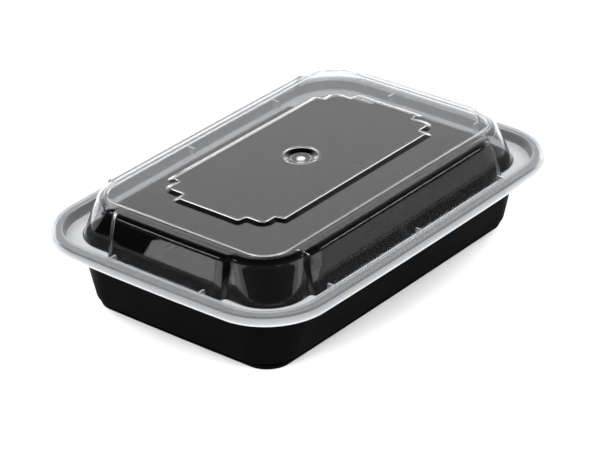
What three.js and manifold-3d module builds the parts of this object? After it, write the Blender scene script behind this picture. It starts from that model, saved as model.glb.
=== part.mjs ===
// Rectangular takeaway meal container, closed and empty: a black moulded tray
// and its clear push-fit lid. Millimetres, +Z up. Origin at the centre of the
// tray's flat bottom, X along the long side, Y along the short side.
import * as THREE from 'three';
import { mergeVertices } from 'three/addons/utils/BufferGeometryUtils.js';
import Module from 'manifold-3d';

// ---------------------------------------------------------------- sizes
// A station is [half length X, half width Y, corner radius, height Z].

// tray
const TRAY_WALL = 0.8;          // sheet thickness
const FOOT_A = 91.7;            // low foot that it stands on
const FOOT_B = 56.2;
const FOOT_R = 12.5;
const FOOT_FILLET = 0.8;
const FOOT_H = 2.6;
const WALL_LOW_A = 94.9;        // outer wall above its rounded lower edge
const WALL_LOW_B = 59.4;
const WALL_LOW_R = 18.5;
const WALL_LOW_Z = 5.4;
const EDGE_FILLET = 2.4;        // rounded lower edge
const FLOOR_FILLET = 4.0;       // inside, from floor to wall
const WALL_TOP_A = 99.6;        // outer wall just under the ledge
const WALL_TOP_B = 67.3;
const WALL_TOP_R = 26.3;
const LEDGE_Z = 34.5;           // top of the ledge that carries the lid
const SEAT_A = 106.5;           // upright seat wall, inner face
const SEAT_B = 73.2;
const SEAT_R = 26.9;
const FLANGE_Z = 39.3;          // top of the flange
const FLANGE_A = 109.5;         // outer edge of the flange
const FLANGE_B = 76.2;
const FLANGE_R = 31.6;
const LIP_Z = 36.7;             // lower end of the turned-down lip

// lid
const LID_WALL = 0.6;
const A_MINUS_B = 33.2;         // the lid's outlines are parallel curves
const TOP_Z = 55.98;            // field at the foot of the raised panel
const FIELD_A = 71.0;
const FIELD_R = 8.0;
const CREASE_A = 86.3;          // fine ridge round the top
const CREASE_R = 13.0;
const CREASE_Z = 55.75;         // sheet at the ridge: the top is a little crowned
const CREASE_H = 0.2;           // ridge above the sheet
const SHOULDER_A = 89.0;        // where the shoulder starts to turn down
const SHOULDER_Z = 55.6;
const SHOULDER_RAD = 4.0;
const SHOULDER_TURN = 76;       // degrees
const DOME_FOOT_A = 97.0;       // dome wall where it meets the ledge
const DOME_FOOT_R = 19.5;
const DOME_WALL_R = 23.0;       // corner radius where the shoulder ends
const LID_LEDGE_Z = 35.4;       // gutter floor between dome and rim
const PLUG_A = 105.5;           // upright plug wall, inner face
const PLUG_R = 25.9;
const RIM_Z = 40.2;             // flat rim
const RIM_A = 110.45;
const RIM_R = 32.9;
const SKIRT_A = 112.0;          // bottom of the skirt
const SKIRT_R = 32.4;
const SKIRT_Z = 35.6;
const BOW = 0.6;                // sides bow outward at mid-side

// panels that stand out of the dome wall in the middle of each side
const PANEL_LONG = [69.3, 70.8];  // half length on the long sides, at the shoulder and the foot
const PANEL_SHORT = [32.8, 34.4]; // half length on the short sides
const STEP_LONG = [3.9, 1.2];     // length of the jog at each end
const STEP_SHORT = [4.3, 1.3];
const PANEL_OUT = 2.6;          // how far it stands out

// raised panel in the top, with stepped corners
const INNER_A = 66.7;
const INNER_B = 34.0;
const INNER_Z = 57.0;
const INNER_FLAT_X = 52.8;      // half length of the outer straight, long side
const INNER_FLAT_Y = 17.8;      // and short side
const INNER_STEP = 4.8;         // how far the corners step in
const INNER_JOG = 1.2;          // length of the step along the side
const INNER_CORNER_R = 3.3;
const RISER = 2.9;              // width of the sloped riser

// round recess with the moulding gate in the centre of the top
const DIMPLE_R = 8.9;
const DIMPLE_DEPTH = 1.4;
const DIMPLE_RING_R = 4.95;
const GATE_R = 2.06;
const GATE_H = 0.8;

// small upright webs on the plug wall
const WEB_T = 0.9;
const WEB_LEN = 4.2;
const WEBS_ON_SHORT = [-27, 27];
const WEBS_ON_LONG = [-64.5, 0, 64.5];

const TRAY_ARC = 8;             // facets in each corner
const LID_ARC = 9;

// ---------------------------------------------------------------- helpers
const lerp = (a, b, t) => a + (b - a) * t;

// one closed outline; out(side, t) pushes the straight sides outward
function outline(s, arc, stopsFor, out) {
  const { a, b, r, z } = s;
  const cx = a - r, cy = b - r;
  const stopsX = stopsFor('long', s), stopsY = stopsFor('short', s);
  const pts = [];
  const corner = (sx, sy, from) => {
    for (let k = 0; k <= arc; k++) {
      const t = from + (Math.PI / 2) * (k / arc);
      pts.push([sx * cx + r * Math.cos(t), sy * cy + r * Math.sin(t), z]);
    }
  };
  for (const y of stopsY) pts.push([a + out('short', y, s), y, z]);
  corner(1, 1, 0);
  for (const x of [...stopsX].reverse()) pts.push([x, b + out('long', x, s), z]);
  corner(-1, 1, Math.PI / 2);
  for (const y of [...stopsY].reverse()) pts.push([-a - out('short', y, s), y, z]);
  corner(-1, -1, Math.PI);
  for (const x of stopsX) pts.push([x, -b - out('long', x, s), z]);
  corner(1, -1, 1.5 * Math.PI);
  return pts;
}

// skin over a run of outlines, closed by a centre point at each end
function skin(rings, zStart, zEnd) {
  const n = rings[0].length;
  const pos = [0, 0, zStart];
  for (const ring of rings) for (const p of ring) pos.push(...p);
  const last = pos.length / 3;
  pos.push(0, 0, zEnd);
  const idx = [];
  const at = (i, j) => 1 + i * n + (j % n);
  for (let j = 0; j < n; j++) idx.push(0, at(0, j + 1), at(0, j));
  for (let i = 0; i + 1 < rings.length; i++) {
    for (let j = 0; j < n; j++) {
      idx.push(at(i, j), at(i + 1, j + 1), at(i + 1, j), at(i, j), at(i, j + 1), at(i + 1, j + 1));
    }
  }
  for (let j = 0; j < n; j++) idx.push(at(rings.length - 1, j), at(rings.length - 1, j + 1), last);
  const g = new THREE.BufferGeometry();
  g.setAttribute('position', new THREE.Float32BufferAttribute(pos, 3));
  g.setIndex(idx);
  return g;
}

// ---------------------------------------------------------------- booleans
const wasm = await Module();
wasm.setup();

function solid(geometry) {
  let g = geometry.clone();
  for (const name of Object.keys(g.attributes)) if (name !== 'position') g.deleteAttribute(name);
  g = mergeVertices(g, 1e-4);
  const p = g.attributes.position.array;
  const i = g.index.array;
  const keep = [];
  for (let k = 0; k < i.length; k += 3) {
    if (i[k] !== i[k + 1] && i[k + 1] !== i[k + 2] && i[k] !== i[k + 2]) keep.push(i[k], i[k + 1], i[k + 2]);
  }
  return new wasm.Manifold(new wasm.Mesh({
    numProp: 3, vertProperties: Float32Array.from(p), triVerts: Uint32Array.from(keep),
  }));
}

function toGeometry(m) {
  const mesh = m.getMesh();
  const g = new THREE.BufferGeometry();
  const n = mesh.numProp;
  const pos = new Float32Array((mesh.vertProperties.length / n) * 3);
  for (let v = 0; v < pos.length / 3; v++) {
    for (let c = 0; c < 3; c++) pos[v * 3 + c] = mesh.vertProperties[v * n + c];
  }
  g.setAttribute('position', new THREE.BufferAttribute(pos, 3));
  g.setIndex(new THREE.BufferAttribute(Uint32Array.from(mesh.triVerts), 1));
  return g;
}

const placed = (g, m) => { g.applyMatrix4(m); return g; };

// ---------------------------------------------------------------- tray
function trayGeometry() {
  const st = [];
  const add = (a, b, r, z) => st.push({ a, b, r, z });
  const t = TRAY_WALL;
  const ledgeUnder = LEDGE_Z - t;
  // outside, from the foot up
  for (let k = 0; k <= 2; k++) {
    const q = (Math.PI / 2) * (k / 2);
    const d = FOOT_FILLET * (Math.sin(q) - 1);
    add(FOOT_A + d, FOOT_B + d, FOOT_R + d, FOOT_FILLET * (1 - Math.cos(q)));
  }
  add(FOOT_A + 0.15, FOOT_B + 0.15, FOOT_R + 0.15, FOOT_H);
  const turn = (78 * Math.PI) / 180;
  for (let k = 0; k <= 3; k++) {
    const q = turn * (k / 3);
    const d = EDGE_FILLET * (Math.sin(q) - Math.sin(turn));
    add(WALL_LOW_A + d, WALL_LOW_B + d, WALL_LOW_R + d, WALL_LOW_Z - EDGE_FILLET * (Math.cos(q) - Math.cos(turn)));
  }
  add(WALL_TOP_A, WALL_TOP_B, WALL_TOP_R, ledgeUnder - 0.5);
  add(WALL_TOP_A + 0.5, WALL_TOP_B + 0.5, WALL_TOP_R + 0.5, ledgeUnder);
  add(SEAT_A + t - 0.5, SEAT_B + t - 0.5, SEAT_R + t - 0.5, ledgeUnder);
  add(SEAT_A + t, SEAT_B + t, SEAT_R + t, ledgeUnder + 0.5);
  add(SEAT_A + t, SEAT_B + t, SEAT_R + t, FLANGE_Z - t);
  add(FLANGE_A - t, FLANGE_B - t, FLANGE_R - t, FLANGE_Z - t);
  add(FLANGE_A - t, FLANGE_B - t, FLANGE_R - t, LIP_Z);
  add(FLANGE_A, FLANGE_B, FLANGE_R, LIP_Z);
  // top of the flange, and back down the inside
  add(FLANGE_A, FLANGE_B, FLANGE_R, FLANGE_Z - 0.5);
  add(FLANGE_A - 0.5, FLANGE_B - 0.5, FLANGE_R - 0.5, FLANGE_Z);
  add(SEAT_A + 0.4, SEAT_B + 0.4, SEAT_R + 0.4, FLANGE_Z);
  add(SEAT_A, SEAT_B, SEAT_R, FLANGE_Z - 0.4);
  add(SEAT_A, SEAT_B, SEAT_R, LEDGE_Z);
  add(WALL_TOP_A, WALL_TOP_B - 0.2, WALL_TOP_R, LEDGE_Z);
  add(WALL_TOP_A - t, WALL_TOP_B - t, WALL_TOP_R - t, LEDGE_Z - 0.8);
  for (let k = 3; k >= 0; k--) {
    const q = turn * (k / 3);
    const d = FLOOR_FILLET * (Math.sin(q) - Math.sin(turn)) - 0.9;
    add(WALL_LOW_A + d, WALL_LOW_B + d, WALL_LOW_R + d, t + FLOOR_FILLET * (1 - Math.cos(q)));
  }
  const stopsFor = (side) => (side === 'long' ? [-35, 0, 35] : [0]);
  const out = (side, v, s) => {
    const half = side === 'long' ? s.a - s.r : s.b - s.r;
    const k = s.z > LEDGE_Z - 3 ? BOW : 0.3;
    return k * (1 - (v / half) ** 2);
  };
  return skin(st.map((s) => outline(s, TRAY_ARC, stopsFor, out)), 0, t);
}

// ---------------------------------------------------------------- lid
// upper surface as a profile, from the centre out: half length, radius, height,
// share of the side panel's step, share of the bow, and how far down the dome
// the place is (0 at the shoulder, 1 at the foot)
function lidProfile() {
  const p = [];
  const add = (a, r, z, panel = 0, bow = 0, fall = 0) => p.push({ a, r, z, panel, bow, fall });
  add(FIELD_A, FIELD_R, TOP_Z);
  add(CREASE_A - 0.6, CREASE_R - 0.3, CREASE_Z);
  add(CREASE_A, CREASE_R, CREASE_Z + CREASE_H);
  add(CREASE_A + 0.6, CREASE_R + 0.8, CREASE_Z);
  add(SHOULDER_A, 17.0, SHOULDER_Z, PANEL_OUT);
  for (let k = 1; k <= 4; k++) {
    const q = (SHOULDER_TURN * Math.PI / 180) * (k / 4);
    const a = SHOULDER_A + SHOULDER_RAD * Math.sin(q);
    add(a, lerp(17.0, DOME_WALL_R, (a - SHOULDER_A) / SHOULDER_RAD), SHOULDER_Z - SHOULDER_RAD * (1 - Math.cos(q)),
      PANEL_OUT, 0, 0.1 * (k / 4));
  }
  add(DOME_FOOT_A - 0.2, DOME_FOOT_R, LID_LEDGE_Z + 1.0, PANEL_OUT, 0, 1);
  add(DOME_FOOT_A + 0.9, DOME_FOOT_R + 1.0, LID_LEDGE_Z, PANEL_OUT, 0, 1);
  add(PLUG_A - 0.8, PLUG_R - 0.8, LID_LEDGE_Z, 0, BOW, 1);
  add(PLUG_A - 0.1, PLUG_R - 0.1, LID_LEDGE_Z + 0.7, 0, BOW, 1);
  add(PLUG_A, PLUG_R, RIM_Z - 0.6, 0, BOW, 1);
  add(PLUG_A + 0.6, PLUG_R + 0.8, RIM_Z, 0, BOW, 1);
  add(RIM_A - 0.3, RIM_R - 0.3, RIM_Z, 0, BOW, 1);
  add(RIM_A + 0.55, RIM_R + 0.3, RIM_Z - 0.9, 0, BOW, 1);
  add(SKIRT_A, SKIRT_R, SKIRT_Z, 0, BOW, 1);
  return p;
}

// the same profile moved inward by the sheet's thickness
function inset(p, t) {
  return p.map((s, i) => {
    const q0 = p[Math.max(0, i - 1)], q1 = p[Math.min(p.length - 1, i + 1)];
    const seg = (u, v) => { const l = Math.hypot(v.a - u.a, v.z - u.z) || 1; return [(v.a - u.a) / l, (v.z - u.z) / l]; };
    const d0 = i > 0 ? seg(q0, s) : seg(s, q1);
    const d1 = i < p.length - 1 ? seg(s, q1) : d0;
    // left normals of the two runs, mitred
    const nx = -(d0[1] + d1[1]), nz = d0[0] + d1[0];
    const l = Math.hypot(nx, nz);
    const c = Math.max(0.6, (-d0[1] * nx + d0[0] * nz) / l);
    const da = -(nx / l) * (t / c), dz = -(nz / l) * (t / c);
    return { ...s, a: s.a + da, r: Math.max(2, s.r + da), z: s.z + dz };
  });
}

function lidShell() {
  const up = lidProfile();
  const low = inset(up, LID_WALL);
  low[0] = { ...low[0], z: TOP_Z - LID_WALL };
  // the skirt ends square
  const endUp = up[up.length - 1], endLow = low[low.length - 1];
  endLow.z = endUp.z;
  // start and end of the jog on one side
  const jog = (side, s) => {
    const [half, step] = side === 'long' ? [PANEL_LONG, STEP_LONG] : [PANEL_SHORT, STEP_SHORT];
    const span = side === 'long' ? s.a - s.r : s.b - s.r;
    const end = Math.min(lerp(...half, s.fall) + lerp(...step, s.fall), span * 0.985);
    return [Math.min(lerp(...half, s.fall), end - 1), end];
  };
  const out = (side, v, s) => {
    const [h, e] = jog(side, s);
    const step = 1 - Math.min(1, Math.max(0, (Math.abs(v) - h) / (e - h)));
    const crown = 1 + 0.12 * (1 - Math.min(1, (v / h) ** 2));
    const span = side === 'long' ? s.a - s.r : s.b - s.r;
    return s.panel * step * crown + s.bow * (1 - Math.min(1, (v / span) ** 2));
  };
  const stopsFor = (side, s) => {
    const [h, e] = jog(side, s);
    const m = (h + e) / 2;
    return side === 'long' ? [-e, -m, -h, -h / 2, 0, h / 2, h, m, e] : [-e, -m, -h, 0, h, m, e];
  };
  const ring = (s) => outline({ ...s, b: s.a - A_MINUS_B }, LID_ARC, stopsFor, out);
  // from the underside's centre out to the skirt, and back over the top
  const run = [...low.map(ring), ...[...up].reverse().map(ring)];
  return skin(run, TOP_Z - LID_WALL, TOP_Z);
}

// outline of the raised panel: outer straights, with corners stepped in
function panelShape(grow) {
  const A = INNER_A + grow, B = INNER_B + grow;
  const a = A - INNER_STEP, b = B - INNER_STEP;
  const fx = INNER_FLAT_X + grow * 0.4, fy = INNER_FLAT_Y + grow * 0.4;
  const j = INNER_JOG;
  const r = INNER_CORNER_R + grow;
  const s = new THREE.Shape();
  s.moveTo(A, -fy);
  s.lineTo(A, fy);
  s.lineTo(a, fy + j);
  s.absarc(a - r, b - r, r, 0, Math.PI / 2, false);
  s.lineTo(fx + j, b);
  s.lineTo(fx, B);
  s.lineTo(-fx, B);
  s.lineTo(-fx - j, b);
  s.absarc(-a + r, b - r, r, Math.PI / 2, Math.PI, false);
  s.lineTo(-a, fy + j);
  s.lineTo(-A, fy);
  s.lineTo(-A, -fy);
  s.lineTo(-a, -fy - j);
  s.absarc(-a + r, -b + r, r, Math.PI, 1.5 * Math.PI, false);
  s.lineTo(-fx - j, -b);
  s.lineTo(-fx, -B);
  s.lineTo(fx, -B);
  s.lineTo(fx + j, -b);
  s.absarc(a - r, -b + r, r, 1.5 * Math.PI, 2 * Math.PI, false);
  s.lineTo(a, -fy - j);
  s.closePath();
  return s;
}

// block with sloped sides: wide at the bottom, the panel's size at the top
function panelBlock(z0, z1, grow) {
  const rise = INNER_Z - TOP_Z;
  const g = new THREE.ExtrudeGeometry(panelShape(grow), {
    depth: z1 - z0 - rise, bevelEnabled: true, bevelThickness: rise, bevelSize: RISER,
    bevelOffset: 0, bevelSegments: 1, curveSegments: 4, steps: 1,
  });
  // keep only the upper bevel: the lower one is sunk in the sheet
  const p = g.attributes.position;
  const zLow = -rise;
  for (let v = 0; v < p.count; v++) if (p.getZ(v) < zLow + 1e-4) p.setZ(v, -rise * 0.5);
  return placed(g, new THREE.Matrix4().makeTranslation(0, 0, z0));
}

function lathe(points, seg = 32) {
  const g = new THREE.LatheGeometry(points.map(([r, z]) => new THREE.Vector2(r, z)), seg);
  return placed(g, new THREE.Matrix4().makeRotationX(Math.PI / 2));
}

function web(atSide, v) {
  // upright plate from the gutter floor to just under the rim
  const h = RIM_Z - LID_LEDGE_Z;
  const s = new THREE.Shape();
  s.moveTo(0.35, -0.3);
  s.lineTo(0.35, -h - 0.2);
  s.lineTo(-WEB_LEN, -h - 0.2);
  s.lineTo(-WEB_LEN, -0.5);
  s.lineTo(-WEB_LEN + 0.2, -0.3);
  s.closePath();
  const g = new THREE.ExtrudeGeometry(s, { depth: WEB_T, bevelEnabled: false });
  g.translate(0, 0, -WEB_T / 2);
  g.rotateX(Math.PI / 2);
  const { angle, x, y } = atSide(v);
  g.rotateZ(angle);
  g.translate(x, y, RIM_Z);
  return g;
}

function lidGeometry() {
  let lid = solid(lidShell());
  // raised panel: block on top, matching recess underneath
  lid = lid.add(solid(panelBlock(TOP_Z - 0.45, INNER_Z, 0)));
  lid = lid.subtract(solid(panelBlock(TOP_Z - LID_WALL - 3, INNER_Z - LID_WALL, -0.25)));
  // centre recess
  const floor = INNER_Z - DIMPLE_DEPTH;
  const under = LID_WALL;
  // a shallow cone down to a flat disc, with the gate's nub under it
  lid = lid.add(solid(lathe([
    [0, floor - under - GATE_H], [GATE_R - 0.2, floor - under - GATE_H], [GATE_R, floor - under],
    [DIMPLE_RING_R + 0.1, floor - under], [DIMPLE_R + 0.1, INNER_Z - under],
    [DIMPLE_R + 0.6, INNER_Z - under + 0.1], [DIMPLE_R + 0.6, INNER_Z - 0.2], [0, INNER_Z - 0.2],
  ])));
  lid = lid.subtract(solid(lathe([
    [0, floor], [DIMPLE_RING_R - 0.35, floor], [DIMPLE_RING_R, floor + 0.25],
    [DIMPLE_RING_R + 0.35, floor + 0.13], [DIMPLE_R, INNER_Z],
    [DIMPLE_R + 0.3, INNER_Z + 0.15], [DIMPLE_R + 0.3, INNER_Z + 1], [0, INNER_Z + 1],
  ])));
  const spanX = PLUG_A - PLUG_R, spanY = PLUG_A - A_MINUS_B - PLUG_R;
  for (const y of WEBS_ON_SHORT) {
    const x = PLUG_A + BOW * (1 - (y / spanY) ** 2);
    lid = lid.add(solid(web((v) => ({ angle: 0, x, y: v }), y)));
    lid = lid.add(solid(web((v) => ({ angle: Math.PI, x: -x, y: v }), y)));
  }
  for (const x of WEBS_ON_LONG) {
    const y = PLUG_A - A_MINUS_B + BOW * (1 - (x / spanX) ** 2);
    lid = lid.add(solid(web((v) => ({ angle: Math.PI / 2, x: v, y }), x)));
    lid = lid.add(solid(web((v) => ({ angle: -Math.PI / 2, x: v, y: -y }), x)));
  }
  return toGeometry(lid);
}

// ---------------------------------------------------------------- scene graph
const group = new THREE.Group();
group.name = 'takeaway_container';

const tray = new THREE.Mesh(
  toGeometry(solid(trayGeometry())),
  new THREE.MeshStandardMaterial({ color: 0x0b0b0c, roughness: 0.5, metalness: 0 }),
);
tray.name = 'tray';
group.add(tray);

const lid = new THREE.Mesh(
  lidGeometry(),
  new THREE.MeshStandardMaterial({
    color: 0xe4e6ea, roughness: 0.12, metalness: 0, transparent: true, opacity: 0.25,
  }),
);
lid.name = 'lid';
group.add(lid);

export default group;
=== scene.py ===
import math

import bpy
import numpy as np
from mathutils import Matrix


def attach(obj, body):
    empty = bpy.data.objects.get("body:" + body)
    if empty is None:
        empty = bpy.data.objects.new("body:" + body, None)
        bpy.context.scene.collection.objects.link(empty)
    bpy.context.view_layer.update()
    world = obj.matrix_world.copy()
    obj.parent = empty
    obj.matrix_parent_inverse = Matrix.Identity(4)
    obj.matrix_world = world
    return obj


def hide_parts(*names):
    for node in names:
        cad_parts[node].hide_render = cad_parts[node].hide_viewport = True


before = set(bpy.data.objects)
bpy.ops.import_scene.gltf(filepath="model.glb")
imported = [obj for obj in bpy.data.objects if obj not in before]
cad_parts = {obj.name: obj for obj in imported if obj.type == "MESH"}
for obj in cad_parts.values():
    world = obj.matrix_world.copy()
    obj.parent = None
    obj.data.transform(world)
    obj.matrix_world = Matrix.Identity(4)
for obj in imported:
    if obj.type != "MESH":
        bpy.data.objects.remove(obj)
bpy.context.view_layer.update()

MM = 0.001

# ------------------------------------------------------------------ sizes, mm
# dome
CREASE_A, CREASE_B, CREASE_R, CREASE_Z = 86.3, 53.2, 13.0, 55.75
SHOULDER_A, SHOULDER_Z, SHOULDER_RAD, SHOULDER_TURN = 89.0, 55.6, 4.0, 76.0
FOOT_A, FOOT_R, LEDGE_Z = 97.0, 19.5, 35.4
WALL_R = 23.0
A_MINUS_B = 33.2
PANEL_OUT = 2.6
SHEET = 0.6
# raised panel in the top
INNER_A, INNER_B, INNER_Z, FIELD_Z = 66.7, 34.0, 56.95, 55.98
INNER_FX, INNER_FY, INNER_STEP, INNER_JOG, INNER_R, RISER = 52.8, 17.8, 4.8, 1.2, 3.3, 2.9
# centre recess
RECESS_R, RECESS_DEPTH, RECESS_RING, GATE_R, GATE_H = 8.9, 1.4, 4.95, 2.06, 0.8
# gutter and rim
PLUG_A, PLUG_R = 105.5, 25.9
RIM_Z, RIM_A, RIM_R = 40.2, 110.45, 32.9
SKIRT_A, SKIRT_R, SKIRT_Z = 112.0, 32.4, 35.6
BOW = 0.6

# samples along a quarter of an outline
N_PANEL, N_JOG, N_PLAIN = 8, 9, 4
N_SIDE = N_PANEL + N_JOG + N_PLAIN
N_CORNER = 24


def smooth(t):
    t = np.clip(t, 0.0, 1.0)
    return t * t * (3 - 2 * t)


def close_quarter(q):
    """whole outline from its quarter in +X +Y, which runs from the X axis to the Y axis"""
    q = np.asarray(q, float)
    back = q[::-1]
    return np.concatenate([
        q[:-1],
        (back * (-1, 1))[:-1],
        (q * (-1, -1))[:-1],
        (back * (1, -1))[:-1],
    ])


def side_stops(c, h, w):
    """places from the middle of a side to the start of its corner"""
    e = min(h + w, 0.99 * c)
    h = min(h, e - 1.2)
    return np.concatenate([
        np.linspace(0, h, N_PANEL, endpoint=False),
        np.linspace(h, e, N_JOG, endpoint=False),
        np.linspace(e, c, N_PLAIN, endpoint=False),
    ]), h, e


def jogs(s):
    """half lengths of the side panels and widths of their end steps, from the shoulder (0) to the foot (1)"""
    return ((69.3 + 1.5 * s, 32.8 + 1.6 * s), (3.9 - 2.7 * s, 4.3 - 3.0 * s))


def outline(a, b, r, panel=0.0, bow=0.0, s=0.0, d=0.0):
    """rounded rectangle with a panel that stands out of each side, moved outward by d"""
    a, b, r = a + d, b + d, r + d
    cx, cy = a - r, b - r
    half, width = jogs(s)
    def side(c, h0, w0):
        v, h, e = side_stops(c, h0 + d, w0)
        t = np.clip((v - h) / (e - h), 0, 1)
        # straight flank with small rounds at both ends
        q = 0.22
        f = np.where(t < q, t * t / (2 * q), np.where(t > 1 - q, (1 - q) - (1 - t) ** 2 / (2 * q), t - q / 2)) / (1 - q)
        bulge = 0.3 * np.clip(1 - (v / h) ** 2, 0, 1) * (panel / PANEL_OUT)
        return v, panel * (1 - f) + bulge + bow * (1 - (v / c) ** 2)
    y, oy = side(cy, half[1], width[1])
    x, ox = side(cx, half[0], width[0])
    t = np.linspace(0, math.pi / 2, N_CORNER + 1)
    arc = np.stack([cx + r * np.cos(t), cy + r * np.sin(t)], 1)
    first = np.stack([a + oy, y], 1)
    second = np.stack([x, b + ox], 1)[::-1]
    return close_quarter(np.concatenate([first, arc, second]))


def filleted(points, radii, counts):
    """run of straight lines with rounded corners; counts: line, corner, line, ..."""
    pts = [np.array(p, float) for p in points]
    starts, arcs = [pts[0]], []
    for i in range(1, len(pts) - 1):
        d0 = pts[i] - pts[i - 1]; d0 /= np.linalg.norm(d0)
        d1 = pts[i + 1] - pts[i]; d1 /= np.linalg.norm(d1)
        turn = math.acos(float(np.clip(d0 @ d1, -1, 1)))
        cut = radii[i - 1] * math.tan(turn / 2)
        p0, p1 = pts[i] - d0 * cut, pts[i] + d1 * cut
        side = 1.0 if d0[0] * d1[1] - d0[1] * d1[0] > 0 else -1.0
        n = np.array([-d0[1], d0[0]]) * side
        arcs.append((p0, p1, p0 + n * radii[i - 1], turn * side))
    out = []
    here = pts[0]
    for i, (p0, p1, c, turn) in enumerate(arcs):
        for k in range(counts[2 * i]):
            out.append(here + (p0 - here) * (k / counts[2 * i]))
        m = counts[2 * i + 1]
        for k in range(m):
            w = turn * k / m
            v = p0 - c
            out.append(c + np.array([v[0] * math.cos(w) - v[1] * math.sin(w), v[0] * math.sin(w) + v[1] * math.cos(w)]))
        here = p1
    m = counts[-1]
    for k in range(m):
        out.append(here + (pts[-1] - here) * (k / m))
    return out


def stepped(g):
    """outline of the raised panel, grown outward by g: its corners step in"""
    A, B = INNER_A + g, INNER_B + g
    a, b = A - INNER_STEP, B - INNER_STEP
    fx, fy = INNER_FX + 0.78 * g, INNER_FY + 0.78 * g
    r = INNER_R + g
    r1, r2 = max(0.4, 0.7 + 0.4 * g), max(0.5, 0.7 - 0.05 * g)
    counts = [5, 4, 2, 4, 6]
    one = filleted([(A, 0), (A, fy), (a, fy + INNER_JOG), (a, b - r)], [r1, r2], counts)
    two = filleted([(0, B), (fx, B), (fx + INNER_JOG, b), (a - r, b)], [r1, r2], counts)
    t = np.linspace(0, math.pi / 2, N_CORNER + 1)
    arc = np.stack([a - r + r * np.cos(t), b - r + r * np.sin(t)], 1)
    return close_quarter(np.concatenate([np.array(one), arc, np.array(two)[::-1]]))


def circle(r):
    t = np.linspace(0, math.pi / 2, 2 * N_SIDE + N_CORNER + 1)
    return close_quarter(np.stack([r * np.cos(t), r * np.sin(t)], 1))


def at(xy, z):
    return np.concatenate([xy, np.full((len(xy), 1), float(z))], 1)


def bump(s, w, h):
    """height of a soft ridge of half width w"""
    return h * 0.5 * (1 + math.cos(math.pi * min(1.0, abs(s) / w)))


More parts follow.
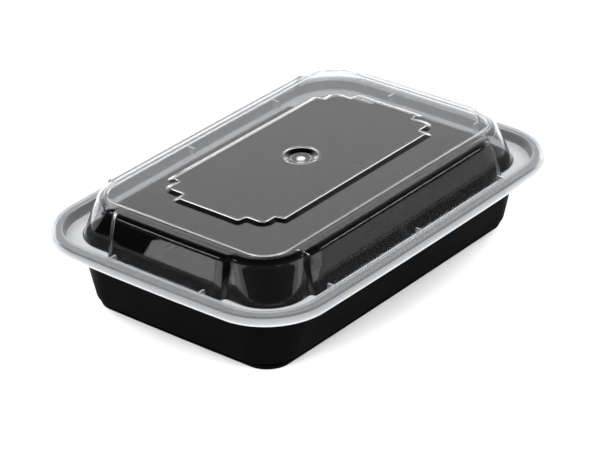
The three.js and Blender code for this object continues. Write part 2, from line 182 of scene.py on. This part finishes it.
# ------------------------------------------------------------------ lid
def lid_rows(ridges=True):
    """upper surface from the centre outward: (outline for a shift, distance out, height, part)"""
    rows = []
    k = 1.0 if ridges else 0.0
    floor = 57.0 - RECESS_DEPTH
    def add(f, u, z, part):
        rows.append((f, u, z, part))
    def ring(a, a_b, r, z, part, panel=0.0, bow=0.0, s=0.0):
        add(lambda d: outline(a, a - a_b, r, panel, bow, s, d), a, z, part)
    for r in (0.7, 1.4, 1.86, 2.06, 2.3, 3.2, 4.1):
        add(lambda d, r=r: circle(r + d), r, floor, "disc")
    # the middle of the ring's top takes the hazy rim material: a painted highlight, a light line standing in for the
    # glint along the ring
    for s in (-0.55, -0.4, -0.27, -0.13, 0.0, 0.13, 0.27, 0.4, 0.55):
        r = RECESS_RING + s
        add(lambda d, r=r: circle(r + d), r, floor + k * bump(s, 0.5, 0.22), "ring_glint_band" if -0.3 < s < 0.2 else "disc")
    # shallow cone, rounded into a soft lip on the panel
    r0 = RECESS_RING + 0.6
    r1 = RECESS_R - 0.75
    slope = (57.0 - floor) / (r1 - r0)
    for s in (0.2, 0.5, 0.8):
        r = r0 + (r1 - r0) * s
        add(lambda d, r=r: circle(r + d), r, floor + slope * (r - r0), "dome")
    for s in (-0.55, -0.4, -0.25, -0.1, 0.05, 0.2, 0.4, 0.6, 0.8, 1.0):
        r = RECESS_R + s
        # falls into the cone inside, and to the panel outside
        inner = min(0.0, slope * (r - (RECESS_R - 0.45)))
        soft = -0.02 if s < -0.3 else 0.0
        add(lambda d, r=r: circle(r + d), r, 57.0 + max(inner, -1.0) + soft + k * bump(s - 0.1, 0.8, 0.16), "dome")
    c0, c1 = circle(RECESS_R + 1.3), stepped(-1.2)
    u1 = INNER_A - 1.2
    for s, z in ((0.0, 57.0), (0.12, 57.0), (0.45, 56.99), (0.85, 56.96)):
        add(lambda d, s=s: c0 * (1 - s) + c1 * s, RECESS_R + 1.3 + (u1 - RECESS_R - 1.3) * s, z, "dome")
    # soft ridge on the panel's edge, then the sloped riser
    for g in (-1.05, -0.85, -0.7, -0.55, -0.4, -0.25, -0.1, 0.05, 0.2, 0.35, 0.5, 0.7, 1.0, 1.5, 2.0, 2.35, 2.6, 2.8, 3.0, 3.2, 3.4):
        t = min(1.0, max(0.0, g / RISER))
        e = 0.09
        if t < e:
            f = t * t / (2 * e)
        elif t > 1 - e:
            f = (1 - e) - (1 - t) ** 2 / (2 * e)
        else:
            f = t - e / 2
        z = INNER_Z - (INNER_Z - FIELD_Z) * f / (1 - e)
        add(lambda d, g=g: stepped(g + d), INNER_A + g, z + k * bump(g + 0.3, 0.6, 0.10), "dome")
    # field
    f0, f1 = stepped(3.9), outline(CREASE_A - 1.2, CREASE_B - 1.2, CREASE_R - 0.6)
    u0, u1f = INNER_A + 3.9, CREASE_A - 1.2
    for s in (0.0, 0.33, 0.66):
        add(lambda d, s=s: f0 * (1 - s) + f1 * s, u0 + (u1f - u0) * s, FIELD_Z + (CREASE_Z - FIELD_Z) * s, "dome")
    # corners: tight at the top's edge, widest at the top of the wall
    grow = lambda a: float(np.interp(a, (CREASE_A, SHOULDER_A, SHOULDER_A + 3.9), (CREASE_R, 17.0, WALL_R)))
    # ridge round the top
    for s in (-1.0, -0.8, -0.6, -0.4, -0.2, 0.0, 0.2, 0.4, 0.6):
        a = CREASE_A + s
        ring(a, CREASE_A - CREASE_B, grow(a), CREASE_Z + k * bump(s, 0.8, 0.2), "dome")
    # flat to the shoulder; the side panels start here
    # and a fine second ridge follows them
    for t in (0.0, 0.2, 0.32, 0.41, 0.5, 0.59, 0.68, 0.8):
        a = CREASE_A + 0.9 + (SHOULDER_A - CREASE_A - 0.9) * t
        z = CREASE_Z + (SHOULDER_Z - CREASE_Z) * t + k * bump(t - 0.5, 0.28, 0.11)
        ring(a, A_MINUS_B, grow(a), z, "dome", PANEL_OUT * (0.3 + 0.7 * t))
    for i in range(0, 19):
        q = math.radians(SHOULDER_TURN) * i / 18
        a = SHOULDER_A + SHOULDER_RAD * math.sin(q)
        z = SHOULDER_Z - SHOULDER_RAD * (1 - math.cos(q))
        ring(a, A_MINUS_B, grow(a), z, "dome", PANEL_OUT, s=0.1 * i / 18)
    # wall, straight down to a small round at its foot
    a0 = SHOULDER_A + SHOULDER_RAD * math.sin(math.radians(SHOULDER_TURN))
    z0 = SHOULDER_Z - SHOULDER_RAD * (1 - math.cos(math.radians(SHOULDER_TURN)))
    a1, z1 = FOOT_A - 0.25, LEDGE_Z + 1.0
    for i in range(1, 9):
        s = i / 8
        a = a0 + (a1 - a0) * s
        ring(a, A_MINUS_B, WALL_R + (FOOT_R - WALL_R) * s, z0 + (z1 - z0) * s, "dome", PANEL_OUT, s=0.1 + 0.9 * s)
    lean = math.atan2(a1 - a0, z0 - z1)
    for i in range(1, 7):
        q = lean + (math.pi / 2 - lean) * i / 6
        a = a1 + 1.0 * (math.cos(lean) - math.cos(q))
        z = z1 - 1.0 * (math.sin(q) - math.sin(lean))
        ring(a, A_MINUS_B, FOOT_R + (a - a1), max(z, LEDGE_Z), "dome" if i < 4 else "gutter", PANEL_OUT, s=1.0)
    # gutter floor and the plug's upright wall
    g0 = outline(FOOT_A + 1.2, FOOT_A + 1.2 - A_MINUS_B, FOOT_R + 1.2, PANEL_OUT, s=1.0)
    g1 = outline(PLUG_A - 1.3, PLUG_A - 1.3 - 33.3, PLUG_R - 1.2, 0, BOW)
    for s in (0.15, 0.6):
        add(lambda d, s=s: g0 * (1 - s) + g1 * s, FOOT_A + 1.2 + (PLUG_A - FOOT_A - 2.5) * s, LEDGE_Z, "gutter")
    rad = 0.9
    ap = PLUG_A - 0.15
    for i in range(0, 7):
        q = math.radians(88) * i / 6
        a = ap - rad + rad * math.sin(q)
        ring(a, 33.3, PLUG_R - rad + rad * math.sin(q), LEDGE_Z + rad * (1 - math.cos(q)), "plug", 0, BOW)
    ring(PLUG_A - 0.08, 33.3, PLUG_R, 38.0, "plug", 0, BOW)
    rad = 0.7
    for i in range(0, 7):
        q = math.radians(90) * i / 6
        a = PLUG_A + rad - rad * math.cos(q)
        ring(a, 33.3, PLUG_R + 0.5 * (a - PLUG_A), RIM_Z - rad + rad * math.sin(q), "rim", 0, BOW)
    # flat rim, its rounded edge and the skirt
    for s in (0.3, 0.75):
        a = PLUG_A + 0.7 + (RIM_A - PLUG_A - 0.9) * s
        ring(a, 33.3, PLUG_R + (RIM_R - PLUG_R) * s, RIM_Z, "rim", 0, BOW)
    rad = 0.8
    for i in range(0, 8):
        q = math.radians(78) * i / 7
        a = RIM_A - 0.05 + rad * math.sin(q)
        ring(a, 33.25, RIM_R + 0.1 * math.sin(q), RIM_Z - rad * (1 - math.cos(q)), "rim", 0, BOW)
    a0 = RIM_A - 0.05 + rad * math.sin(math.radians(78))
    z0 = RIM_Z - rad * (1 - math.cos(math.radians(78)))
    for i in range(1, 7):
        s = i / 6
        a = a0 + (SKIRT_A - a0) * s
        ring(a, 33.2, RIM_R + (SKIRT_R - RIM_R) * s, z0 + (SKIRT_Z - z0) * s, "skirt", 0, BOW)
    return rows


def both_sides(t):
    """rings of the upper surface and of the underside, one sheet thickness below it"""
    rows = lid_rows(True)
    flat = lid_rows(False)
    upper = [at(f(0.0), z) for f, _, z, _ in rows]
    u = np.array([q[1] for q in flat])
    z = np.array([q[2] for q in flat])
    under = []
    for i, (f, _, _, _) in enumerate(flat):
        lo, hi = max(0, i - 1), min(len(flat) - 1, i + 1)
        du, dz = u[hi] - u[lo], z[hi] - z[lo]
        l = math.hypot(du, dz)
        nu, nz = -dz / l, du / l
        under.append(at(f(-t * nu), z[i] - t * nz))
    return upper, under, [q[3] for q in rows]


def build(name, rings, cap_first, cap_last, kinds, materials, sharp=40.0, extra=None):
    """closed skin over rings; kinds gives the material of the faces that start at each ring"""
    n = len(rings[0])
    verts = [np.array([cap_first])] + list(rings) + [np.array([cap_last])]
    verts = np.concatenate(verts) * MM
    faces, mats = [], []
    at_ = lambda i, j: 1 + i * n + (j % n)
    for j in range(n):
        faces.append((0, at_(0, j), at_(0, j + 1)))
        mats.append(kinds[0])
    for i in range(len(rings) - 1):
        for j in range(n):
            faces.append((at_(i, j), at_(i + 1, j), at_(i + 1, j + 1), at_(i, j + 1)))
            mats.append(kinds[i])
    last = len(verts) - 1
    m = len(rings) - 1
    for j in range(n):
        faces.append((at_(m, j), last, at_(m, j + 1)))
        mats.append(kinds[m])
    verts = [tuple(v) for v in verts]
    if extra:
        for ev, ef, em in extra:
            base = len(verts)
            verts += [tuple(np.array(v) * MM) for v in ev]
            faces += [tuple(base + i for i in f) for f in ef]
            mats += [em] * len(ef)
    me = bpy.data.meshes.new(name)
    me.from_pydata(verts, [], faces)
    names = list(materials)
    for key in names:
        me.materials.append(materials[key])
    me.polygons.foreach_set("material_index", [names.index(k) for k in mats])
    me.polygons.foreach_set("use_smooth", [True] * len(faces))
    me.set_sharp_from_angle(angle=math.radians(sharp))
    me.update()
    ob = bpy.data.objects.new(name, me)
    bpy.context.scene.collection.objects.link(ob)
    return ob


def fin(x, y, angle):
    """small upright web across the gutter, as a closed plate"""
    t = 0.4
    prof = [(0.3, RIM_Z - 0.25), (0.3, LEDGE_Z - 0.2), (-4.2, LEDGE_Z - 0.2), (-4.2, RIM_Z - 0.5), (-3.95, RIM_Z - 0.25)]
    c, s = math.cos(angle), math.sin(angle)
    vs = []
    for side in (-t, t):
        for u, z in prof:
            vs.append((x + u * c - side * s, y + u * s + side * c, z))
    m = len(prof)
    fs = [tuple(range(m)), tuple(range(2 * m - 1, m - 1, -1))]
    for i in range(m):
        j = (i + 1) % m
        fs.append((i, i + m, j + m, j))
    return vs, fs


# ------------------------------------------------------------------ materials
def principled(name, **values):
    mat = bpy.data.materials.new(name)
    mat.use_nodes = True
    node = mat.node_tree.nodes["Principled BSDF"]
    for key, value in values.items():
        node.inputs[key].default_value = value
    return mat, node


def varied(mat, node, socket, scale, low, high, detail=3.0, fac=(0.3, 0.7)):
    """drives a socket with noise over the object"""
    nt = mat.node_tree
    co = nt.nodes.new("ShaderNodeTexCoord")
    no = nt.nodes.new("ShaderNodeTexNoise")
    no.inputs["Scale"].default_value = scale
    no.inputs["Detail"].default_value = detail
    mr = nt.nodes.new("ShaderNodeMapRange")
    for i, v in zip((1, 2, 3, 4), (*fac, low, high)):
        mr.inputs[i].default_value = v
    nt.links.new(co.outputs["Object"], no.inputs["Vector"])
    nt.links.new(no.outputs["Fac"], mr.inputs[0])
    nt.links.new(mr.outputs[0], node.inputs[socket])
    return co, no


def bumped(mat, node, scale, strength, distance, detail=2.0):
    nt = mat.node_tree
    co = nt.nodes.new("ShaderNodeTexCoord")
    no = nt.nodes.new("ShaderNodeTexNoise")
    no.inputs["Scale"].default_value = scale
    no.inputs["Detail"].default_value = detail
    bu = nt.nodes.new("ShaderNodeBump")
    bu.inputs["Strength"].default_value = strength
    bu.inputs["Distance"].default_value = distance
    nt.links.new(co.outputs["Object"], no.inputs["Vector"])
    nt.links.new(no.outputs["Fac"], bu.inputs["Height"])
    nt.links.new(bu.outputs[0], node.inputs["Normal"])


clear, n = principled("lid_clear", **{"Base Color": (0.85, 0.86, 0.87, 1), "Transmission Weight": 1.0, "IOR": 1.49})
varied(clear, n, "Roughness", 35.0, 0.0, 0.004)

gutter, n = principled("lid_gutter_haze", **{"Base Color": (0.93, 0.94, 0.96, 1), "Transmission Weight": 0.86, "IOR": 1.35})
varied(gutter, n, "Roughness", 60.0, 0.22, 0.28)

plug, n = principled("lid_plug_haze", **{"Base Color": (0.85, 0.87, 0.89, 1), "Transmission Weight": 0.96, "IOR": 1.25})
varied(plug, n, "Roughness", 60.0, 0.12, 0.16)

rim, n = principled("lid_rim_haze", **{"Base Color": (0.54, 0.56, 0.585, 1), "Transmission Weight": 0.91, "IOR": 1.45})
varied(rim, n, "Roughness", 60.0, 0.16, 0.24)

skirt, n = principled("lid_skirt_haze_painted_glow", **{"Transmission Weight": 0.7, "IOR": 1.49})
varied(skirt, n, "Roughness", 90.0, 0.35, 0.45)
# paler toward the lower edge: painted light, standing in for floor light shining up through the frosted skirt and the
# glow of its lower edge
nt = skirt.node_tree
co = nt.nodes.new("ShaderNodeTexCoord")
sp = nt.nodes.new("ShaderNodeSeparateXYZ")
mr = nt.nodes.new("ShaderNodeMapRange")
for i, v in zip((1, 2, 3, 4), (SKIRT_Z * MM, RIM_Z * MM, 0.0, 1.0)):
    mr.inputs[i].default_value = v
ra = nt.nodes.new("ShaderNodeValToRGB")
ra.color_ramp.elements[0].position = 0.08
ra.color_ramp.elements[0].color = (0.85, 0.85, 0.85, 1)
ra.color_ramp.elements[1].position = 1.0
ra.color_ramp.elements[1].color = (0.34, 0.36, 0.38, 1)
e = ra.color_ramp.elements.new(0.2)
e.color = (0.60, 0.62, 0.64, 1)
nt.links.new(co.outputs["Object"], sp.inputs[0])
nt.links.new(sp.outputs[2], mr.inputs[0])
nt.links.new(mr.outputs[0], ra.inputs[0])
nt.links.new(ra.outputs[0], n.inputs["Base Color"])

gate, n = principled("lid_gate", **{"Base Color": (0.45, 0.45, 0.46, 1), "IOR": 1.49})
varied(gate, n, "Roughness", 400.0, 0.4, 0.6)

black_in, n = principled("tray_inside", **{"Base Color": (0.0015, 0.0015, 0.0017, 1), "IOR": 1.3, "Specular IOR Level": 0.01})
varied(black_in, n, "Roughness", 40.0, 0.42, 0.5)

black_out, n = principled("tray_outside", **{"Base Color": (0.0016, 0.0016, 0.0018, 1), "IOR": 1.3, "Specular IOR Level": 0.18})
varied(black_out, n, "Roughness", 60.0, 0.5, 0.6)
bumped(black_out, n, 1500.0, 0.12, 0.0002)

# ------------------------------------------------------------------ lid mesh
upper, under, parts = both_sides(SHEET)
# the moulding gate hangs under the disc
for i in range(len(under)):
    if float(np.hypot(under[i][0][0], under[i][0][1])) < 2.0:
        under[i] = under[i] + (0, 0, -GATE_H)
# the skirt ends square
under[-1][:, 2] = SKIRT_Z
# the ring's narrow top band gets the rim's haze as a painted highlight
top_mat = {"ring_glint_band": "rim", "disc": "clear", "dome": "clear", "gutter": "gutter", "plug": "plug", "rim": "rim", "skirt": "skirt"}
rings = upper + under[::-1]
kinds = [top_mat[k] for k in parts]
for i in range(len(under) - 1, -1, -1):
    kinds.append("gate" if i <= 3 else top_mat[parts[max(0, i - 1)]])
floor_z = 57.0 - RECESS_DEPTH

fins = []
for y in (-27.0, 27.0):
    bow = BOW * (1 - (y / 46.3) ** 2)
    fins.append((*fin(PLUG_A + bow, y, 0.0), "rim"))
    fins.append((*fin(-PLUG_A - bow, y, math.pi), "rim"))
for x in (-64.5, 0.0, 64.5):
    bow = BOW * (1 - (x / 79.6) ** 2)
    fins.append((*fin(x, PLUG_A - 33.3 + bow, math.pi / 2), "rim"))
    fins.append((*fin(x, -(PLUG_A - 33.3 + bow), -math.pi / 2), "rim"))

lid = build("lid_shell", rings, (0, 0, floor_z), (0, 0, floor_z - SHEET - GATE_H), kinds,
            {"clear": clear, "gutter": gutter, "plug": plug, "rim": rim, "skirt": skirt, "gate": gate}, extra=fins)


# ------------------------------------------------------------------ tray mesh
def tray_rings():
    rows = []
    def add(a, b, r, z, kind, bow=0.3):
        rows.append((at(outline(a, b, r, 0, bow), z), kind))
    BA, BB, BR = 91.7, 56.2, 12.5
    VA, VB, VR, VZ, F = 94.9, 59.4, 18.5, 5.4, 2.4
    WA, WB, WR = 99.6, 67.3, 26.3
    SA, SB, SR = 106.5, 73.2, 26.9
    FA, FB, FR = 109.5, 76.2, 31.6
    LZ, FZ, LIP, t = 34.5, 39.3, 36.7, 0.8
    # low foot
    for s in (0.3, 0.7):
        add((BA - 0.8) * s, (BB - 0.8) * s, (BR - 0.8) * s, 0.0, "out")
    for i in range(0, 6):
        q = math.pi / 2 * i / 5
        d = 0.8 * (math.sin(q) - 1)
        add(BA + d, BB + d, BR + d, 0.8 * (1 - math.cos(q)), "out")
    add(BA + 0.1, BB + 0.1, BR + 0.1, 2.4, "out")
    add(BA + 0.16, BB + 0.16, BR + 0.16, 2.75, "out")
    # rounded lower edge, then the wall
    e = math.radians(78)
    for i in range(0, 8):
        q = e * i / 7
        d = F * (math.sin(q) - math.sin(e))
        add(VA + d, VB + d, VR + d, VZ - F * (math.cos(q) - math.cos(e)), "out")
    for s in (0.2, 0.4, 0.6, 0.8, 0.97):
        add(VA + (WA - VA) * s, VB + (WB - VB) * s, VR + (WR - VR) * s, VZ + (LZ - t - VZ) * s, "out")
    add(WA + 0.2, WB + 0.2, WR + 0.2, LZ - t - 0.1, "out")
    add(WA + 0.6, WB + 0.6, WR + 0.6, LZ - t, "out", BOW)
    add(SA + t - 0.5, SB + t - 0.5, SR + t - 0.5, LZ - t, "out", BOW)
    add(SA + t - 0.1, SB + t - 0.1, SR + t - 0.1, LZ - t + 0.15, "out", BOW)
    add(SA + t, SB + t, SR + t, LZ - t + 0.5, "out", BOW)
    add(SA + t, SB + t, SR + t, FZ - t, "out", BOW)
    add(FA - t, FB - t, FR - t, FZ - t, "out", BOW)
    add(FA - t, FB - t, FR - t, LIP, "out", BOW)
    add(FA, FB, FR, LIP, "out", BOW)
    for i in range(0, 5):
        q = math.pi / 2 * i / 4
        add(FA - 0.6 + 0.6 * math.cos(q), FB - 0.6 + 0.6 * math.cos(q), FR - 0.6 + 0.6 * math.cos(q), FZ - 0.6 + 0.6 * math.sin(q), "in", BOW)
    for i in range(0, 5):
        q = math.pi / 2 * i / 4
        add(SA + 0.5 - 0.5 * math.sin(q), SB + 0.5 - 0.5 * math.sin(q), SR + 0.5 - 0.5 * math.sin(q), FZ - 0.5 + 0.5 * math.cos(q), "in", BOW)
    for i in range(0, 5):
        q = math.pi / 2 * i / 4
        add(SA - 0.8 + 0.8 * math.cos(q), SB - 0.8 + 0.8 * math.cos(q), SR - 0.8 + 0.8 * math.cos(q), LZ + 0.8 - 0.8 * math.sin(q), "in", BOW)
    for i in range(0, 6):
        q = math.radians(80) * i / 5
        add(WA - 0.1 - 1.0 * math.sin(q), WB - 0.1 - 1.0 * math.sin(q), WR - 1.0 * math.sin(q), LZ - 1.0 * (1 - math.cos(q)), "in")
    G = 4.0
    e = math.radians(78)
    a1, b1, r1, z1 = VA - 0.9, VB - 0.9, VR - 0.9, t + G * (1 - math.cos(e))
    a2, b2, r2, z2 = WA - 0.1 - math.sin(e), WB - 0.1 - math.sin(e), WR - 1.0, LZ - (1 - math.cos(e))
    for s in (0.25, 0.5, 0.75, 1.0):
        add(a2 + (a1 - a2) * s, b2 + (b1 - b2) * s, r2 + (r1 - r2) * s, z2 + (z1 - z2) * s, "in")
    for i in range(7, -1, -1):
        q = e * i / 8
        d = G * (math.sin(q) - math.sin(e))
        add(a1 + d, b1 + d, r1 + d, t + G * (1 - math.cos(q)), "in")
    for s in (0.7, 0.3):
        add((a1 - G) * s, (b1 - G) * s, (r1 - G) * s, t, "in")
    return rows


tr = tray_rings()
tray = build("tray_shell", [r for r, _ in tr], (0, 0, 0), (0, 0, 0.8), [k for _, k in tr],
             {"out": black_out, "in": black_in})


def face_out(ob):
    """turns the faces outward if the skin came out inside out"""
    me = ob.data
    me.calc_loop_triangles()
    vol = 0.0
    for t in me.loop_triangles:
        a, b, c = (me.vertices[i].co for i in t.vertices)
        vol += a.dot(b.cross(c)) / 6
    if vol < 0:
        me.flip_normals()
    return vol


for ob in (lid, tray):
    face_out(ob)

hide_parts("tray")
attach(tray, "root")
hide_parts("lid")
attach(lid, "root")
# clear sheet: light reaches what lies under it
lid.visible_shadow = False

# ------------------------------------------------------------------ floor
def sheet(name, x0, x1, y0, y1, z, mat, cells=8):
    me = bpy.data.meshes.new(name)
    xs, ys = np.linspace(x0, x1, cells + 1), np.linspace(y0, y1, cells + 1)
    me.from_pydata([(x, y, z) for y in ys for x in xs], [],
                   [(j * (cells + 1) + i, j * (cells + 1) + i + 1, (j + 1) * (cells + 1) + i + 1, (j + 1) * (cells + 1) + i)
                    for j in range(cells) for i in range(cells)])
    me.materials.append(mat)
    ob = bpy.data.objects.new(name, me)
    bpy.context.scene.collection.objects.link(ob)
    return ob


def plain(name, low, high):
    mat, node = principled(name, **{"Roughness": 0.8, "IOR": 1.1})
    nt = mat.node_tree
    co = nt.nodes.new("ShaderNodeTexCoord")
    no = nt.nodes.new("ShaderNodeTexNoise")
    no.inputs["Scale"].default_value = 3.0
    ra = nt.nodes.new("ShaderNodeValToRGB")
    ra.color_ramp.elements[0].color = (low, low, low, 1)
    ra.color_ramp.elements[1].color = (high, high, high, 1)
    nt.links.new(co.outputs["Object"], no.inputs["Vector"])
    nt.links.new(no.outputs["Fac"], ra.inputs[0])
    nt.links.new(ra.outputs[0], node.inputs["Base Color"])
    return mat


def seen_by(ob, camera=False, diffuse=False, glossy=False, transmission=False, shadow=False):
    ob.visible_camera = camera
    ob.visible_diffuse = diffuse
    ob.visible_glossy = glossy
    ob.visible_transmission = transmission
    ob.visible_shadow = shadow


# the floor that is seen, its far part seen through the lid, and a dimmer one that the gloss mirrors
white = plain("floor_white", 0.80, 0.82)
floor = sheet("floor", -4, 4, -4, 4, -0.0001, white)
seen_by(floor, camera=True)
beyond = plain("floor_beyond", 0.54, 0.56)
for name, box in (("floor_far_left", (-0.1, 4, 0.07, 4)), ("floor_far_right", (0.103, 4, -0.07, 0.07))):
    seen_by(sheet(name, *box, -0.0002, beyond), transmission=True, glossy=True)
mirrored = sheet("floor_mirrored", -4, 4, -4, 4, -0.0004, plain("floor_grey", 0.17, 0.18))
seen_by(mirrored, glossy=True, transmission=True, diffuse=True)


def card(name, points, mat):
    """flat card on the floor, seen only as a reflection"""
    me = bpy.data.meshes.new(name)
    me.from_pydata([(x * MM, y * MM, 0.0002) for x, y in points], [], [tuple(range(len(points)))])
    me.materials.append(mat)
    ob = bpy.data.objects.new(name, me)
    bpy.context.scene.collection.objects.link(ob)
    seen_by(ob, glossy=True, transmission=True)


def strip(x0, y0, x1, y1, az, near, far):
    """two parallel rays over the floor, from a stretch of the wall"""
    dx, dy = math.cos(math.radians(az)), math.sin(math.radians(az))
    return [(x0 + dx * near, y0 + dy * near), (x0 + dx * far, y0 + dy * far),
            (x1 + dx * far, y1 + dy * far), (x1 + dx * near, y1 + dy * near)]


dark = plain("card_black", 0.003, 0.004)
pale = plain("card_pale", 0.52, 0.54)
card("card_left", strip(-95, 300, -95, 34.5, 145, 150, 1500), dark)
card("card_left_pale", strip(-95, 34, -95, -42, 145, 150, 1500), pale)
card("card_front", [(-130, -70), (-3000, -230), (-3000, -3000), (-1650, -3000), (-115, -110)], dark)

# ------------------------------------------------------------------ light
scene = bpy.context.scene
scene.view_settings.view_transform = "Standard"
world = bpy.data.worlds.new("studio")
scene.world = world
world.use_nodes = True
wt = world.node_tree
bg = wt.nodes["Background"]
bg.inputs["Color"].default_value = (1, 1, 1, 1)
co = wt.nodes.new("ShaderNodeTexCoord")
sx = wt.nodes.new("ShaderNodeSeparateXYZ")
wt.links.new(co.outputs["Generated"], sx.inputs[0])
curve = wt.nodes.new("ShaderNodeFloatCurve")
# radiance over height: bright at the horizon, dark overhead; value is a tenth
pts = [(0.0, 0.1), (0.5, 0.27), (0.54, 0.27), (0.62, 0.18), (0.695, 0.098), (0.75, 0.092), (0.80, 0.06), (0.88, 0.012), (0.93, 0.004), (1.0, 0.004)]
cm = curve.mapping.curves[0]
while len(cm.points) < len(pts):
    cm.points.new(0.5, 0.5)
for p, (u, v) in zip(cm.points, pts):
    p.location = (u, v)
    p.handle_type = "VECTOR"
curve.mapping.update()
half = wt.nodes.new("ShaderNodeMath"); half.operation = "MULTIPLY_ADD"
half.inputs[1].default_value = 0.5
half.inputs[2].default_value = 0.5
wt.links.new(sx.outputs[2], half.inputs[0])
wt.links.new(half.outputs[0], curve.inputs[1])
# brighter behind the object than in front
back = wt.nodes.new("ShaderNodeVectorMath"); back.operation = "DOT_PRODUCT"
back.inputs[1].default_value = (0.76, 0.65, 0.0)
wt.links.new(co.outputs["Generated"], back.inputs[0])
share = wt.nodes.new("ShaderNodeMapRange")
for i, v in zip((1, 2, 3, 4), (0.3, 0.7, 0.4, 10.0)):
    share.inputs[i].default_value = v
wt.links.new(back.outputs["Value"], share.inputs[0])
mul = wt.nodes.new("ShaderNodeMath"); mul.operation = "MULTIPLY"
wt.links.new(curve.outputs[0], mul.inputs[0])
wt.links.new(share.outputs[0], mul.inputs[1])
wt.links.new(mul.outputs[0], bg.inputs["Strength"])


def lamp(name, az, el, dist, w, h, power, glossy=True, target=(0, 0, 0.03)):
    az, el = math.radians(az), math.radians(el)
    d = np.array([math.cos(az) * math.cos(el), math.sin(az) * math.cos(el), math.sin(el)])
    la = bpy.data.lights.new(name, "AREA")
    la.shape = "RECTANGLE"
    la.size, la.size_y = w, h
    la.energy = power
    ob = bpy.data.objects.new(name, la)
    scene.collection.objects.link(ob)
    z = d
    x = np.cross((0, 0, 1.0), z)
    x = x / np.linalg.norm(x) if np.linalg.norm(x) > 1e-6 else np.array([1.0, 0, 0])
    y = np.cross(z, x)
    loc = np.array(target) + d * dist
    ob.matrix_world = Matrix([[x[0], y[0], z[0], loc[0]], [x[1], y[1], z[1], loc[1]], [x[2], y[2], z[2], loc[2]], [0, 0, 0, 1]])
    ob.visible_camera = False
    ob.visible_glossy = glossy
    ob.visible_transmission = glossy
    return ob


lamp("overhead", 220.0, 80.0, 1.8, 2.4, 2.4, 31.0, glossy=False)
for i, az in enumerate((175.0, 265.0, 355.0, 85.0)):
    lamp("fill_%d" % i, az, 26.0, 1.8, 1.2, 0.8, 42.0, glossy=False)
lamp("side_right", -43.0, 24.0, 1.6, 0.5, 0.22, 0.9)
lamp("side_left", 139.0, 29.0, 1.6, 0.5, 0.22, 0.9)

# upright soft boxes that only the gloss at the near corner mirrors
for name, az, width, power in (("mirror_left", 163.0, 0.206, 0.026), ("mirror_mid", 249.0, 0.055, 0.010), ("mirror_right", 292.0, 0.2, 0.026)):
    box = lamp(name, az, 0.0, 0.3, width, 0.06, power, target=(-0.09, -0.057, 0.032))
    box.visible_diffuse = False

# ------------------------------------------------------------------ camera
AZ, EL, ROLL = -0.8637998441842787, 0.4967643998083782, -0.03714679207713072
FOCAL, DIST, TX, TY = 2830.458, 1.362755, 3.3592, -1.2881
d = np.array([math.sin(AZ) * math.cos(EL), -math.cos(AZ) * math.cos(EL), math.sin(EL)])
right = np.cross(-d, (0, 0, 1.0)); right /= np.linalg.norm(right)
upv = np.cross(right, -d)
r = math.cos(ROLL) * right + math.sin(ROLL) * upv
u = -math.sin(ROLL) * right + math.cos(ROLL) * upv
loc = np.array([0, 0, 0.02]) + d * DIST
cam = bpy.data.cameras.new("camera")
cam.sensor_width = 36.0
cam.lens = FOCAL * 36.0 / 600.0
cam.shift_x = -TX / 600.0
cam.shift_y = TY / 600.0
cam.clip_start, cam.clip_end = 0.05, 50.0
camera = bpy.data.objects.new("camera", cam)
scene.collection.objects.link(camera)
camera.matrix_world = Matrix([[r[0], u[0], d[0], loc[0]], [r[1], u[1], d[1], loc[1]], [r[2], u[2], d[2], loc[2]], [0, 0, 0, 1]])
scene.camera = camera

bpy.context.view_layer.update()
